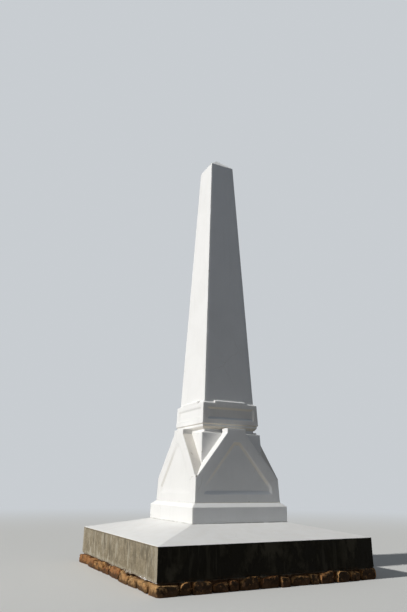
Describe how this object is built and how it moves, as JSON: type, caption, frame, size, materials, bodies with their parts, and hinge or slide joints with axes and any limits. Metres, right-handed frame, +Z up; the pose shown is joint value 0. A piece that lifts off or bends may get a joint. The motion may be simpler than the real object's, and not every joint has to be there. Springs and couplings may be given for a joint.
{
  "type": "obelisk on a gabled pedestal",
  "caption": "Tall white square obelisk of rendered masonry with a low pyramid top, on a gabled pedestal with sunk panels and a wide hipped plinth over a rubble footing.",
  "frame": {"origin": "Centre of the footing's underside, on the ground", "axes": "+Z up along the shaft; the front faces -Y, and all four sides are alike"},
  "size_m": [4.51, 4.51, 9.619],
  "materials": {
    "limewash": "matt white limewash on smooth cement render",
    "bare_render": "bare cement render, streaked by rain",
    "dark_render": "cement render with a near-black damp coat",
    "rubble": "rough yellow limestone rubble"
  },
  "bodies": {
    "root": {"footing_front": "rubble", "footing_right": "rubble", "footing_back": "rubble", "footing_left": "rubble", "plinth_core": "rubble", "wall_front": "dark_render", "wall_right": "bare_render", "wall_back": "dark_render", "wall_left": "bare_render", "field_front": "limewash", "field_right": "limewash", "field_back": "limewash", "field_left": "limewash", "base_course": "limewash", "die_core": "limewash", "gable_front": "limewash", "gable_right": "limewash", "gable_back": "limewash", "gable_left": "limewash", "neck": "limewash", "collar_bed": "limewash", "collar": "limewash", "crest_front": "limewash", "crest_right": "limewash", "crest_back": "limewash", "crest_left": "limewash", "shaft": "limewash", "pyramidion": "limewash"}
  },
  "joints": []
}
